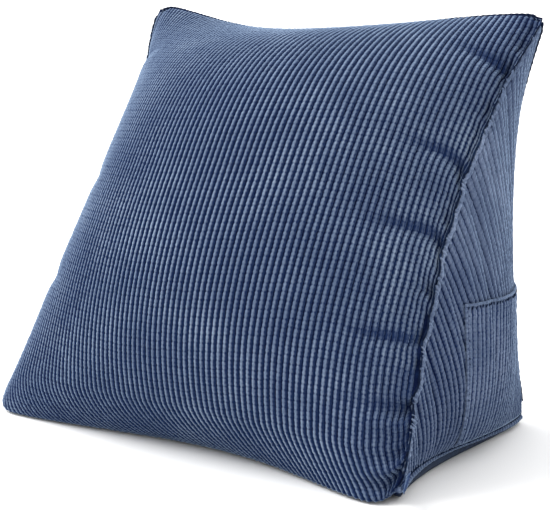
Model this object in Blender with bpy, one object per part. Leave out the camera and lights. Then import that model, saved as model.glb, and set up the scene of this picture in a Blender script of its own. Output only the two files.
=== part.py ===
"""Wedge-shaped backrest cushion, filled and standing on its base.

A sewn cover of ribbed corduroy: a square front panel that leans back, a back panel, two triangular side
gussets and a patch pocket on the right gusset. The base panel is plain cloth. Metres, +Z up, +X to the
cushion's right as seen from the front, +Y to its back. The origin is under the middle of the cushion.
"""
import math

import bmesh
import bpy
import numpy as np

WIDTH = 0.450           # across the front, corner to corner
DEPTH = 0.241           # of the base, front corner to back corner
HEIGHT = 0.3894         # of the top corners
TOP_SETBACK = 0.253     # of the top corners, behind the foot of the front panel

RIB_PITCH = 0.0061      # from one corduroy rib to the next
RIB_HEIGHT = 0.0018     # from groove to crest
SEAM_INSET = 0.0045     # from a seam to the first point of the panel beside it
SEAM_SINK = 0.0012      # how far the panels dip beside a seam
RIDGE_HEIGHT = 0.0010   # how far the sewn edges stand up at a seam

FRONT_CROWN = 0.107     # how far the stuffing pushes each panel out of its flat shape
LEAN_SIDE = 0.36        # how much the front crown leans over its side seams, foot and top
LEAN_FOOT = 0.50
LEAN_TOP = 0.07
BACK_CROWN = 0.030
GUSSET_CROWN = 0.041
GUSSET_SAG = 1.0        # how far the gussets' crown sinks towards their foot

CLOTH = 0.0016          # thickness of the base panel and of the pocket
GAP = 0.0003            # between pieces that touch

POCKET_WIDTH = 0.132
POCKET_LEAN = 0.018     # how much narrower the pocket is at its mouth
POCKET_HEIGHT = 0.146   # of its mouth above the floor, at the front
POCKET_DROOP = 0.008    # how much lower its mouth is at the back
POCKET_RIB_HEIGHT = 0.0011
POCKET_HEM = 0.014
HEM_EXTRA = 0.0009      # how much thicker the doubled hem is
HEM_STEP = 0.008        # share of the pocket's height over which the hem steps up
POCKET_CLEARANCE = 0.0015

FOOT = -0.87            # where the front panel rolls under, from -1 at its base seam to 1 at the top
EDGE_ROUNDNESS = 40     # the higher, the closer to its side seams the front panel turns
FRONT_ROWS = 18
TUCK_ROWS = 2
BACK_ROWS = 5
GUSSET_ROWS = 7
POCKET_ROWS = 8
FINE = 161              # samples along a line before it is spaced out evenly

# Corners where the panels meet, in metres: how far to the right of the middle, behind the foot and up.
CORNERS = {
    "left_foot": (-0.2235, -0.0100, 0.0030),
    "right_foot": (0.2250, 0.0000, 0.0030),
    "left_front": (-0.2285, 0.0145, 0.0113),
    "right_front": (0.2220, 0.0212, 0.0113),
    "left_base": (-0.2189, 0.2618, 0.0065),
    "right_base": (0.2189, 0.2618, 0.0065),
    "left_top": (-WIDTH / 2, TOP_SETBACK, HEIGHT),
    "right_top": (WIDTH / 2, TOP_SETBACK, HEIGHT),
}

# Each seam runs between two corners. Its middle is drawn in along pull by draw, and swing moves the deepest
# point towards the end (+) or the start (-). Lengths are in metres. The foot rows are not seams but the lines
# that the front panel's bulge would reach if it were not drawn in to its seams.
SEAMS = {
    "foot": {"ends": ("left_foot", "right_foot"), "pull": (0.0, 1.0, 0.0), "draw": 0.0320,
             "swing": 0.0180, "power": 2.0},
    "foot_right": {"ends": ("right_foot", "right_top"), "pull": (-0.86, -0.43, 0.28), "draw": 0.0241,
                   "swing": 0.0163, "power": 1.4},
    "foot_left": {"ends": ("left_foot", "left_top"), "pull": (0.86, -0.43, 0.28), "draw": 0.0241,
                  "swing": 0.0163, "power": 1.4},
    "front_right": {"ends": ("right_front", "right_top"), "pull": (-1.0, -1.15, 0.17), "draw": 0.0283,
                    "swing": 0.0105, "power": 1.12, "points": 36},
    "front_left": {"ends": ("left_front", "left_top"), "pull": (1.0, -1.15, 0.17), "draw": 0.0283,
                   "swing": 0.0105, "power": 1.12, "points": 36},
    "top": {"ends": ("left_top", "right_top"), "pull": (0.0, -0.73, -0.68), "draw": 0.0299,
            "swing": -0.0178, "power": 1.8, "points": 30},
    "front_base": {"ends": ("left_front", "right_front"), "pull": (0.0, 1.0, -0.05), "draw": 0.0320,
                   "swing": 0.0080, "power": 1.5, "points": 30},
    "right_back": {"ends": ("right_base", "right_top"), "pull": (-1.0, 0.30, 0.0), "draw": 0.0356,
                   "swing": 0.0070, "power": 1.12, "points": 24},
    "left_back": {"ends": ("left_base", "left_top"), "pull": (1.0, 0.30, 0.0), "draw": 0.0356,
                  "swing": 0.0070, "power": 1.12, "points": 24},
    "right_base": {"ends": ("right_front", "right_base"), "pull": (-1.0, 0.0, -0.065), "draw": 0.0078,
                   "swing": -0.0107, "power": 1.0, "points": 22},
    "left_base": {"ends": ("left_front", "left_base"), "pull": (1.0, 0.0, -0.05), "draw": 0.0090,
                  "swing": -0.0080, "power": 1.0, "points": 22},
    "back_base": {"ends": ("left_base", "right_base"), "pull": (0.0, -1.0, 0.0), "draw": 0.0080,
                  "swing": 0.0000, "power": 1.0, "points": 30},
}

# Creases that run from a side seam into the front panel: which side, how high along the seam (-1 to 1), how
# far in they reach as a share of half the width, how much they climb over that, and how deep and wide they are.
CREASES = (
    {"side": 1, "up": 0.76, "reach": 0.26, "climb": 0.16, "deep": 0.0060, "wide": 0.045},
    {"side": 1, "up": 0.38, "reach": 0.28, "climb": 0.14, "deep": 0.0050, "wide": 0.040},
    {"side": 1, "up": 0.07, "reach": 0.42, "climb": 0.05, "deep": 0.0060, "wide": 0.045},
    {"side": 1, "up": -0.34, "reach": 0.40, "climb": 0.00, "deep": 0.0055, "wide": 0.040},
    {"side": 1, "up": -0.72, "reach": 0.22, "climb": -0.04, "deep": 0.0040, "wide": 0.045},
    {"side": -1, "up": 0.68, "reach": 0.26, "climb": 0.10, "deep": 0.0045, "wide": 0.045},
    {"side": -1, "up": 0.02, "reach": 0.32, "climb": 0.06, "deep": 0.0050, "wide": 0.045},
    {"side": -1, "up": -0.40, "reach": 0.30, "climb": 0.02, "deep": 0.0045, "wide": 0.045},
)


def clear_scene():
    for item in list(bpy.data.objects):
        bpy.data.objects.remove(item, do_unlink=True)


def corner(name):
    return np.array(CORNERS[name])


def seam(name, along):
    """Points of a seam, for along from -1 at its start to 1 at its end."""
    row = SEAMS[name]
    start, end = (corner(item) for item in row["ends"])
    along = np.asarray(along, dtype=float)[..., None]
    pull = np.array(row["pull"]) / np.linalg.norm(row["pull"])
    inward = (1 - along ** 2).clip(0) ** row["power"] * (row["draw"] + row["swing"] * along)
    return (start + end) / 2 + (end - start) / 2 * along + pull * inward


def coons(across, up, bottom, top, left, right):
    """Sheet stretched between four seams, for across and up from -1 to 1."""
    u = ((across + 1) / 2)[..., None]
    v = ((up + 1) / 2)[..., None]
    sides = (1 - v) * seam(bottom, across) + v * seam(top, across)
    sides = sides + (1 - u) * seam(left, up) + u * seam(right, up)
    one = np.array(1.0)
    low_left, low_right = seam(bottom, -one), seam(bottom, one)
    high_left, high_right = seam(top, -one), seam(top, one)
    flat = (1 - u) * (1 - v) * low_left + u * (1 - v) * low_right
    return sides - flat - (1 - u) * v * high_left - u * v * high_right


def front_surface(across, up):
    """Front panel: a high crown that leans over its side seams and rolls under at its foot."""
    rise = ((up - FOOT) / (1 - FOOT)).clip(0) * 2 - 1
    under = ((FOOT - up) / (1 + FOOT)).clip(0)
    slope = np.array((0.0, TOP_SETBACK, HEIGHT)) / math.hypot(TOP_SETBACK, HEIGHT)
    outward = np.array((0.0, -slope[2], slope[1]))
    profile = (1 - np.abs(across) ** 1.9).clip(0) ** 0.95
    fullest = rise - 0.065 * (1 - rise ** 2)
    profile = profile * (1 - np.abs(fullest) ** 2.6).clip(0) ** np.where(fullest < 0, 0.80, 0.89)
    lean_side = LEAN_SIDE * across
    lean_up = np.where(rise < 0, LEAN_FOOT, LEAN_TOP) * rise
    way = outward + np.array((1.0, 0, 0)) * lean_side[..., None] + slope * lean_up[..., None]
    way = way / np.linalg.norm(way, axis=-1, keepdims=True)
    sheet = coons(across, rise, "foot", "top", "foot_left", "foot_right")
    sheet = sheet + way * (FRONT_CROWN * profile - creases(across, rise))[..., None]
    turn = np.stack((under, under, under ** 2), axis=-1)
    sheet = sheet + turn * (seam("front_base", across) - seam("foot", across))
    along = 2 * ((up + 1) / 2) ** 1.18 - 1
    for side, name in ((-1.0, "left"), (1.0, "right")):
        place = np.full_like(up, side)
        reach = seam(f"foot_{name}", rise) + turn * (seam("front_base", place) - seam("foot", place))
        pull = (across * side).clip(0) ** EDGE_ROUNDNESS
        sheet = sheet + (seam(f"front_{name}", along) - reach) * pull[..., None]
    return sheet


def creases(across, up):
    """Depth of the creases that the tight side seams pull into the front panel."""
    depth = np.zeros_like(across)
    for row in CREASES:
        inward = 1 - across * row["side"]
        centre = row["up"] + row["climb"] * inward / row["reach"]
        fade = np.exp(-(inward / row["reach"]) ** 2) * (1 - np.exp(-(inward / 0.05) ** 2))
        depth += row["deep"] * fade * np.exp(-((up - centre) / row["wide"]) ** 2)
    return depth


def back_surface(across, up):
    """Back panel, seen from behind: its left is the cushion's right."""
    profile = (1 - np.abs(across) ** 2.2).clip(0) ** 0.85 * (1 - np.abs(up) ** 2.2).clip(0) ** 0.85
    u = ((across + 1) / 2)[..., None]
    v = ((up + 1) / 2)[..., None]
    sides = (1 - v) * seam("back_base", -across) + v * seam("top", -across)
    sides = sides + (1 - u) * seam("right_back", up) + u * seam("left_back", up)
    flat = (1 - u) * (1 - v) * corner("right_base") + u * (1 - v) * corner("left_base")
    flat = flat + (1 - u) * v * corner("right_top") + u * v * corner("left_top")
    return sides - flat + np.array((0, 1.0, 0)) * (BACK_CROWN * profile)[..., None]


def gusset_surface(side, behind, high):
    """Side gusset: behind is 0 at the front corner and 1 at the back seam, high is 0 to 1 up each rib."""
    p = behind[..., None]
    q = high[..., None]
    base = seam(f"{side}_base", 2 * behind - 1)
    slant = seam(f"front_{side}", 2 * behind - 1)
    back = seam(f"{side}_back", 2 * high - 1)
    front = corner(f"{side}_front")
    flat = (1 - p) * front + p * ((1 - q) * corner(f"{side}_base") + q * corner(f"{side}_top"))
    sheet = (1 - q) * base + q * slant + p * back + (1 - p) * front - flat
    bubble = 27 * (1 - behind) * behind * high * behind * (1 - high)
    outward = 1.0 if side == "right" else -1.0
    # the stuffing sinks, so the gusset is fullest low down and leans over its base seam
    way = np.array((outward, 0.0, 0.0)) + np.array((0.0, 0.0, -GUSSET_SAG)) * (1 - high)[..., None]
    return sheet + way * (GUSSET_CROWN * bubble)[..., None]


def spaced(points, count, inset):
    """Points spaced evenly along each row's length, the ends inset from the seams."""
    out = np.empty((points.shape[0], count, 3))
    for i, row in enumerate(points):
        run = np.concatenate(([0.0], np.cumsum(np.linalg.norm(np.diff(row, axis=0), axis=1))))
        gap = min(inset, run[-1] * 0.2)
        want = np.linspace(gap, run[-1] - gap, count)
        for k in range(3):
            out[i, :, k] = np.interp(want, run, row[:, k])
    return out


def normals(grid):
    """Outward unit normals of a grid whose rows run up and columns run to its right."""
    across = np.gradient(grid, axis=1)
    up = np.gradient(grid, axis=0)
    way = np.cross(across, up)
    return way / np.linalg.norm(way, axis=-1, keepdims=True)


def ribbed(grid, ways, sink_rows, sink_columns):
    """Raises every other column to a rib's crest, and lowers the panel's edge beside its seams."""
    crest = np.where(np.arange(grid.shape[1]) % 2 == 1, 0.5, -0.5) * RIB_HEIGHT
    lift = np.tile(crest, (grid.shape[0], 1))
    if sink_rows:
        lift[0] -= SEAM_SINK
        lift[-1] -= SEAM_SINK
    if sink_columns:
        lift[:, 0] -= SEAM_SINK
        lift[:, -1] -= SEAM_SINK
    return grid + ways * lift[..., None]


def rows_between_seams(count, length):
    """Row places from -1 to 1, the first and last a seam's inset in from the seams."""
    edge = 1 - 2 * SEAM_INSET / length
    return np.linspace(-edge, edge, count + 1)


def panel_grid(surface, rows, columns):
    """Points of a four-sided panel and their outward normals."""
    fine = np.sin(np.linspace(-math.pi / 2, math.pi / 2, FINE))
    across, up = np.meshgrid(fine, rows)
    grid = spaced(surface(across, up), columns + 1, SEAM_INSET)
    return grid, normals(grid)


def gusset_grid(side, columns):
    """Points of a gusset, its columns the ribs from the front corner to the back seam."""
    slant = math.hypot(TOP_SETBACK, HEIGHT)
    behind = np.linspace(4 * SEAM_INSET / DEPTH, 1 - SEAM_INSET / DEPTH, columns + 1)
    high = np.linspace(0, 1, FINE)
    grid = np.empty((GUSSET_ROWS + 1, columns + 1, 3))
    for i, place in enumerate(behind):
        line = gusset_surface(side, np.full(FINE, place), high)
        # the slanted seam cuts across the ribs, so the inset there is longer
        stretch = slant / TOP_SETBACK
        run = np.concatenate(([0.0], np.cumsum(np.linalg.norm(np.diff(line, axis=0), axis=1))))
        low = min(SEAM_INSET, run[-1] * 0.25)
        top = run[-1] - min(SEAM_INSET * stretch, run[-1] * 0.25)
        want = np.linspace(low, top, GUSSET_ROWS + 1)
        for k in range(3):
            grid[:, i, k] = np.interp(want, run, line[:, k])
    if side == "left":
        return grid[:, ::-1], normals(grid[:, ::-1])
    return grid, normals(grid)


def ridge_points(name):
    """A seam's ridge, stood a little proud of the two panels that it joins."""
    count = SEAMS[name]["points"]
    points = seam(name, np.linspace(-1, 1, count + 1))
    middle = np.array((0.0, DEPTH * 0.55, HEIGHT * 0.35))
    along = np.gradient(points, axis=0)
    along = along / np.linalg.norm(along, axis=1, keepdims=True)
    away = points - middle
    away = away - (away * along).sum(1, keepdims=True) * along
    away = away / np.linalg.norm(away, axis=1, keepdims=True)
    if name.endswith("base"):
        away[:, 2] = 0
        away = away / np.linalg.norm(away, axis=1, keepdims=True)
    fade = np.ones(count + 1)
    fade[0] = fade[-1] = 0
    return points + away * (RIDGE_HEIGHT * fade)[:, None]


class Skin:
    """Gathers points and faces, and shares the points of each seam's ridge."""

    def __init__(self):
        self.mesh = bmesh.new()
        self.ridges = {}
        self.corners = {}

    def point(self, place):
        return self.mesh.verts.new(place)

    def ridge(self, name):
        if name not in self.ridges:
            start, end = SEAMS[name]["ends"]
            inner = [self.point(p) for p in ridge_points(name)[1:-1]]
            self.ridges[name] = [self.corner_point(start)] + inner + [self.corner_point(end)]
        return self.ridges[name]

    def corner_point(self, name):
        if name not in self.corners:
            self.corners[name] = self.point(corner(name))
        return self.corners[name]

    def face(self, *corners):
        if len(set(corners)) == len(corners):
            self.mesh.faces.new(corners)

    def grid(self, points):
        """Faces of a grid of points; returns its edge, anticlockwise from outside, as four sides."""
        verts = [[self.point(p) for p in row] for row in points]
        for low, high in zip(verts, verts[1:]):
            for a, b, c, d in zip(low, low[1:], high[1:], high):
                self.face(a, b, c, d)
        bottom = verts[0]
        right = [row[-1] for row in verts]
        top = verts[-1][::-1]
        left = [row[0] for row in verts][::-1]
        return [bottom, right, top, left]

    def stitch(self, inner, outer):
        """Strip of triangles from a panel's side to the seam beside it, both running the same way."""
        i = j = 0
        inner_run, outer_run = run_shares(inner), run_shares(outer)
        while i < len(inner) - 1 or j < len(outer) - 1:
            step_inner = i < len(inner) - 1
            if step_inner and j < len(outer) - 1:
                step_inner = inner_run[i + 1] <= outer_run[j + 1]
            if step_inner:
                self.face(inner[i], outer[j], inner[i + 1])
                i += 1
            else:
                self.face(inner[i], outer[j], outer[j + 1])
                j += 1


def run_shares(verts):
    """How far along a line each point lies, from 0 to 1."""
    places = np.array([v.co[:] for v in verts])
    run = np.concatenate(([0.0], np.cumsum(np.linalg.norm(np.diff(places, axis=0), axis=1))))
    return run / max(run[-1], 1e-9)


def material(name, colour, roughness):
    made = bpy.data.materials.new(name)
    made.use_nodes = True
    shader = made.node_tree.nodes["Principled BSDF"]
    shader.inputs["Base Color"].default_value = (*colour, 1.0)
    shader.inputs["Roughness"].default_value = roughness
    shader.inputs["Metallic"].default_value = 0.0
    return made


def add_object(name, mesh, finish):
    bmesh.ops.triangulate(mesh, faces=[f for f in mesh.faces if len(f.verts) > 3])
    data = bpy.data.meshes.new(name)
    mesh.to_mesh(data)
    mesh.free()
    data.materials.append(finish)
    made = bpy.data.objects.new(name, data)
    bpy.context.scene.collection.objects.link(made)
    return made


def base_loop(skin_points):
    """The base seam's closed line, anticlockwise from above, from its seams in turn."""
    names = (("front_base", 1), ("right_base", 1), ("back_base", -1), ("left_base", -1))
    loop = []
    for name, way in names:
        side = skin_points(name)[::way]
        loop += list(side[:-1])
    return loop


def inset_loop(loop, inset, share, lift):
    """The base seam's line moved in by inset, at a share of its height above lift."""
    heights = lift + share * (np.array(loop)[:, 2] - lift)
    points = np.array(loop)[:, :2]
    before = points - np.roll(points, 1, axis=0)
    after = np.roll(points, -1, axis=0) - points
    before = before / np.linalg.norm(before, axis=1, keepdims=True)
    after = after / np.linalg.norm(after, axis=1, keepdims=True)
    way = before + after
    way = way / np.linalg.norm(way, axis=1, keepdims=True)
    inward = np.stack((-way[:, 1], way[:, 0]), axis=1)
    turn = (before * way).sum(1).clip(0.6, 1)
    moved = points + inward * (inset / turn)[:, None]
    return np.column_stack((moved, heights))


def bridge(mesh, lower, upper):
    """Band of faces between two closed loops of as many points."""
    count = len(lower)
    for i in range(count):
        k = (i + 1) % count
        mesh.faces.new((lower[i], lower[k], upper[k], upper[i]))


def cushion_body(finish):
    skin = Skin()
    slant = math.hypot(TOP_SETBACK, HEIGHT)
    ribs_across = round(WIDTH / RIB_PITCH)
    ribs_deep = round(DEPTH / RIB_PITCH)

    rows = rows_between_seams(FRONT_ROWS, slant)
    tuck = np.linspace(rows[0], FOOT, TUCK_ROWS + 1)
    rows = np.append(tuck, np.linspace(FOOT, rows[-1], FRONT_ROWS + 1)[1:])
    grid, ways = panel_grid(front_surface, rows, 2 * ribs_across)
    sides = skin.grid(ribbed(grid, ways, True, True))
    around = (("front_base", 1), ("front_right", 1), ("top", -1), ("front_left", -1))
    for side, (name, way) in zip(sides, around):
        skin.stitch(side, skin.ridge(name)[::way])

    rows = rows_between_seams(BACK_ROWS, HEIGHT)
    grid, ways = panel_grid(back_surface, rows, 2 * ribs_across)
    sides = skin.grid(ribbed(grid, ways, True, True))
    around = (("back_base", -1), ("left_back", 1), ("top", 1), ("right_back", -1))
    for side, (name, way) in zip(sides, around):
        skin.stitch(side, skin.ridge(name)[::way])

    grid, ways = gusset_grid("right", 2 * ribs_deep)
    sides = skin.grid(ribbed(grid, ways, True, True))
    skin.stitch(sides[0], skin.ridge("right_base"))
    skin.stitch(sides[1], skin.ridge("right_back"))
    skin.stitch(sides[2], skin.ridge("front_right")[::-1])
    skin.stitch(sides[3], [skin.corner_point("right_front")])

    grid, ways = gusset_grid("left", 2 * ribs_deep)
    sides = skin.grid(ribbed(grid, ways, True, True))
    skin.stitch(sides[0], skin.ridge("left_base")[::-1])
    skin.stitch(sides[1], [skin.corner_point("left_front")])
    skin.stitch(sides[2], skin.ridge("front_left"))
    skin.stitch(sides[3], skin.ridge("left_back")[::-1])

    loop = base_loop(skin.ridge)
    places = [v.co[:] for v in loop]
    under = CLOTH + GAP
    rings = [loop]
    for inset, share in ((0.0031, 0.84), (0.0037, 0.52), (0.0060, 0.20), (0.0105, 0.0)):
        rings.append([skin.point(p) for p in inset_loop(places, inset, share, under)])
    for upper, lower in zip(rings, rings[1:]):
        bridge(skin.mesh, lower, upper)
    skin.mesh.faces.new(rings[-1][::-1])
    return add_object("cushion_body", skin.mesh, finish)


def base_panel(finish):
    """Plain cloth under the cushion, its edge turned up to the base seam."""
    loop = base_loop(lambda name: [tuple(p) for p in ridge_points(name)])
    mesh = bmesh.new()
    outline = ((0.0100, 0.0, CLOTH), (0.0056, 0.18, CLOTH), (0.0032, 0.48, CLOTH), (0.0027, 0.76, CLOTH),
               (0.0008, 0.84, 0.0), (0.0014, 0.46, 0.0), (0.0038, 0.14, 0.0), (0.0090, 0.0, 0.0))
    rings = []
    for inset, share, lift in outline:
        rings.append([mesh.verts.new(p) for p in inset_loop(loop, inset, share, lift)])
    for upper, lower in zip(rings, rings[1:]):
        bridge(mesh, lower, upper)
    mesh.faces.new(rings[0])
    mesh.faces.new(rings[-1][::-1])
    return add_object("base_panel", mesh, finish)


def gusset_at_height(side, behind, height):
    """Points of a gusset at given heights above the floor."""
    high = np.linspace(0, 1, FINE)
    out = np.empty(behind.shape + (3,))
    for place in np.ndindex(behind.shape):
        line = gusset_surface(side, np.full(FINE, behind[place]), high)
        for k in range(3):
            out[place + (k,)] = np.interp(height[place], line[:, 2], line[:, k])
    return out


def side_pocket(finish):
    """Patch of corduroy on the right gusset, its mouth hemmed and lying flat on the gusset."""
    ribs = round(POCKET_WIDTH / RIB_PITCH)
    last = 1 - 1.6 * SEAM_INSET / DEPTH
    # rows as shares of the way up: the cloth to its hem, then the hem as one raised band
    hem_foot = 1 - POCKET_HEM / POCKET_HEIGHT
    rows = np.append(np.linspace(0, hem_foot - HEM_STEP, POCKET_ROWS), (hem_foot, 1))
    share, row = np.meshgrid(np.linspace(0, 1, 2 * ribs + 1), rows)
    first = last - (POCKET_WIDTH - POCKET_LEAN * row) / DEPTH
    behind = first + (last - first) * share
    foot = seam("right_base", 2 * behind - 1)[..., 2] + SEAM_INSET
    mouth = POCKET_HEIGHT - POCKET_DROOP * share
    grid = gusset_at_height("right", behind, foot + (mouth - foot) * row)
    ways = normals(grid)
    inner = grid + ways * POCKET_CLEARANCE
    outer = inner + ways * CLOTH
    crest = np.where(np.arange(2 * ribs + 1) % 2 == 1, 1.0, 0.0) * POCKET_RIB_HEIGHT
    lift = np.tile(crest, (len(rows), 1))
    lift[-2:] = crest * 0.5 + HEM_EXTRA
    outer = outer + ways * lift[..., None]
    skin = Skin()
    outer_sides = skin.grid(outer)
    inner_sides = skin.grid(inner[:, ::-1])
    inner_sides = [inner_sides[0][::-1], inner_sides[3][::-1], inner_sides[2][::-1], inner_sides[1][::-1]]
    for front, behind_it in zip(outer_sides, inner_sides):
        for a, b, c, d in zip(front, front[1:], behind_it[1:], behind_it):
            skin.mesh.faces.new((b, a, d, c))
    return add_object("side_pocket", skin.mesh, finish)


def centre_on_floor(pieces):
    """Moves the pieces so that the origin lies under the middle of them all."""
    places = np.array([v.co[:] for piece in pieces for v in piece.data.vertices])
    middle = (places.min(axis=0) + places.max(axis=0)) / 2
    for piece in pieces:
        for vertex in piece.data.vertices:
            vertex.co.x -= middle[0]
            vertex.co.y -= middle[1]


clear_scene()
corduroy = material("corduroy_blue", (0.105, 0.165, 0.305), 0.85)
plain_cloth = material("plain_cloth_slate", (0.070, 0.105, 0.175), 0.80)
pocket_cloth = material("pocket_corduroy_blue", (0.115, 0.175, 0.315), 0.85)
centre_on_floor([cushion_body(corduroy), base_panel(plain_cloth), side_pocket(pocket_cloth)])
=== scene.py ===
import math

import bmesh
import bpy
import numpy as np
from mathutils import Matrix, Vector


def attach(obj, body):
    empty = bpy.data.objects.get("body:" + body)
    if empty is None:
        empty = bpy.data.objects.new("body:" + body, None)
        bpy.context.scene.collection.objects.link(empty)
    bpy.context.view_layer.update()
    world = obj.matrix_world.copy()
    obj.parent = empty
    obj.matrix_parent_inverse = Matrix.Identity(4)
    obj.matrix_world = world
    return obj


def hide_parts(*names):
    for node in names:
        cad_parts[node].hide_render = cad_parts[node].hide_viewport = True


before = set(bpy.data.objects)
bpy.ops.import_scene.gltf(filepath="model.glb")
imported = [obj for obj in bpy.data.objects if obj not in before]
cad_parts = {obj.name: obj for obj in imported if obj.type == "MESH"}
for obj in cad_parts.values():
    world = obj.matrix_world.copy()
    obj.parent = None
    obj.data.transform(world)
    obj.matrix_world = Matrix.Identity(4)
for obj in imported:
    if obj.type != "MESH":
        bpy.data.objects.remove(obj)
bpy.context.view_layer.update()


# The stuffed cover: the woven ground of the corduroy, navy and closely woven, cut as a front, a back and two
# gussets, sewn into one closed bag and filled. It is one padded body, and its raised ribs are laid on it
# afterwards. The pattern gives its stuffed corners, in metres, and the sewn lines that the filling draws in.

MIDDLE = np.array((-0.00101608, -0.13585435, 0.0))  # from the pattern's origin at the foot to the frame's
WIDTH, DEPTH, HEIGHT, SETBACK = 0.450, 0.241, 0.3894, 0.253
CORNERS = {
    "left_foot": (-0.2290, -0.0100, 0.0030), "right_foot": (0.2250, 0.0000, 0.0030),
    "left_front": (-0.2310, 0.0125, 0.0100), "right_front": (0.2220, 0.0212, 0.0113),
    "left_base": (-0.2189, 0.2618, 0.0065), "right_base": (0.2189, 0.2618, 0.0065),
    "left_top": (-WIDTH / 2, SETBACK, HEIGHT), "right_top": (WIDTH / 2 + 0.0034, SETBACK, HEIGHT),
}
# ends, which way the filling draws the seam in, how far, the swing of the deepest point, how sharply it bends
SEAMS = {
    "foot": ("left_foot", "right_foot", (0.0, 1.0, 0.0), 0.0320, 0.0180, 2.0),
    "foot_right": ("right_foot", "right_top", (-0.86, -0.43, 0.28), 0.0241, 0.0163, 1.4),
    "foot_left": ("left_foot", "left_top", (0.96, -0.24, 0.20), 0.0345, 0.0185, 1.4),
    "front_right": ("right_front", "right_top", (-1.0, -1.15, 0.17), 0.0283, 0.0105, 1.12),
    "front_left": ("left_front", "left_top", (0.96, -0.20, 0.20), 0.0340, 0.0190, 1.4),
    "top": ("left_top", "right_top", (0.0, -0.73, -0.68), 0.0299, -0.0178, 1.8),
    "front_base": ("left_front", "right_front", (0.0, 1.0, -0.05), 0.0320, 0.0080, 1.5),
    "right_back": ("right_base", "right_top", (-1.0, 0.30, 0.0), 0.0356, 0.0070, 1.12),
    "left_back": ("left_base", "left_top", (1.0, 0.30, 0.0), 0.0356, 0.0070, 1.12),
    "right_base": ("right_front", "right_base", (-1.0, 0.0, 0.50), 0.0086, -0.0118, 1.0),
    "left_base": ("left_front", "left_base", (1.0, 0.0, -0.05), 0.0090, -0.0080, 1.0),
    "back_base": ("left_base", "right_base", (0.0, -1.0, 0.0), 0.0080, 0.0, 1.0),
}


def corner(name):
    return np.array(CORNERS[name]) + MIDDLE


# where the side seams are tight, as places along them, and how wide each tight place is
TIGHT_PLACES = ((0.691, 0.050), (0.263, 0.045), (-0.038, 0.050), (-0.426, 0.045), (-0.649, 0.040))
TIGHT_PULL, SEAM_WAVER = 0.0026, 0.0006


def seam(name, along):
    """Points of a sewn line, for along from -1 at its start to 1 at its end."""
    first, last, pull, draw, swing, power = SEAMS[name]
    start, end = corner(first), corner(last)
    along = np.asarray(along, dtype=float)[..., None]
    pull = np.array(pull) / np.linalg.norm(pull)
    inward = (1 - along ** 2).clip(0) ** power * (draw + swing * along)
    line = (start + end) / 2 + (end - start) / 2 * along + pull * inward
    if name in ("front_right", "front_left"):
        tight = sum(np.exp(-((along - place) / wide) ** 2) for place, wide in TIGHT_PLACES)
        tight = TIGHT_PULL * tight + SEAM_WAVER * np.sin(57 * along) * (1 - along ** 2)
        line = line + np.array((-1.0 if name == "front_right" else 0.4, 0.0, 0.0)) * tight
    return line


# The corners' tips, where the doubled seam allowance lies: how far each gives way towards the heart of the
# cushion, and over what distance. The left foot's is negative: the filling pushes it out.
TIPS = {"left_top": (0.0060, 0.014), "right_top": (0.0045, 0.011), "left_front": (-0.0022, 0.020),
        "left_base": (0.0025, 0.012), "right_base": (0.0025, 0.012)}
HEART = np.array((0.0, 0.02, 0.14))


def settled(points):
    """The corners' tips give way, so that they are rounded."""
    out = points
    for name, (give, reach) in TIPS.items():
        tip = corner(name)
        way = HEART - tip
        way = way / np.linalg.norm(way)
        near = np.exp(-((points - tip) ** 2).sum(-1) / reach ** 2)
        out = out + way * (give * near)[..., None]
    return out


def sewn(name, along):
    """Points of a sewn line on the finished cushion."""
    return settled(seam(name, along))


def stretched_between(across, up, bottom, top, left, right):
    """Cloth stretched between four sewn lines, for across and up from -1 to 1."""
    u, v = ((across + 1) / 2)[..., None], ((up + 1) / 2)[..., None]
    sides = (1 - v) * seam(bottom, across) + v * seam(top, across)
    sides = sides + (1 - u) * seam(left, up) + u * seam(right, up)
    one = np.array(1.0)
    flat = (1 - u) * (1 - v) * seam(bottom, -one) + u * (1 - v) * seam(bottom, one)
    return sides - flat - (1 - u) * v * seam(top, -one) - u * v * seam(top, one)


# The creases that the tight side seams pull into the front panel: side, height on the seam, climb towards the
# middle, reach as a share of half the width, depth in metres, and width.
CREASES = (
    (1, 0.717, 0.20, 0.32, 0.0078, 0.042), (1, 0.310, -0.03, 0.30, 0.0080, 0.038),
    (1, 0.011, -0.15, 0.35, 0.0078, 0.042), (1, -0.396, -0.08, 0.34, 0.0074, 0.038),
    (1, -0.650, 0.0, 0.38, 0.0030, 0.040), (1, 0.520, 0.02, 0.13, 0.0030, 0.022),
    (1, 0.170, 0.0, 0.12, 0.0026, 0.020), (1, -0.200, -0.05, 0.14, 0.0030, 0.022),
    (1, -0.520, 0.05, 0.12, 0.0026, 0.020), (-1, 0.680, 0.10, 0.30, 0.0040, 0.045),
    (-1, 0.020, 0.06, 0.34, 0.0040, 0.045), (-1, -0.400, 0.02, 0.30, 0.0036, 0.045),
    (-1, 0.350, 0.0, 0.14, 0.0025, 0.024), (-1, -0.200, 0.0, 0.14, 0.0025, 0.024),
)
GUTTER_DEPTH, GUTTER_WIDTH, LEFT_GUTTER_DEPTH = 0.0062, 0.022, 0.0024
# sets how deep a crease must be for full painted shade on its upper lip
DARK_CREASE = 0.0078  # how deep a crease is whose lip lies fully dark
ROLL_UNDER = -0.87
EDGE_ROUNDNESS = 40
SIDE_SPACING = 1.18
FRONT_CROWN, BACK_CROWN, GUSSET_CROWN = 0.107, 0.030, 0.041


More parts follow.
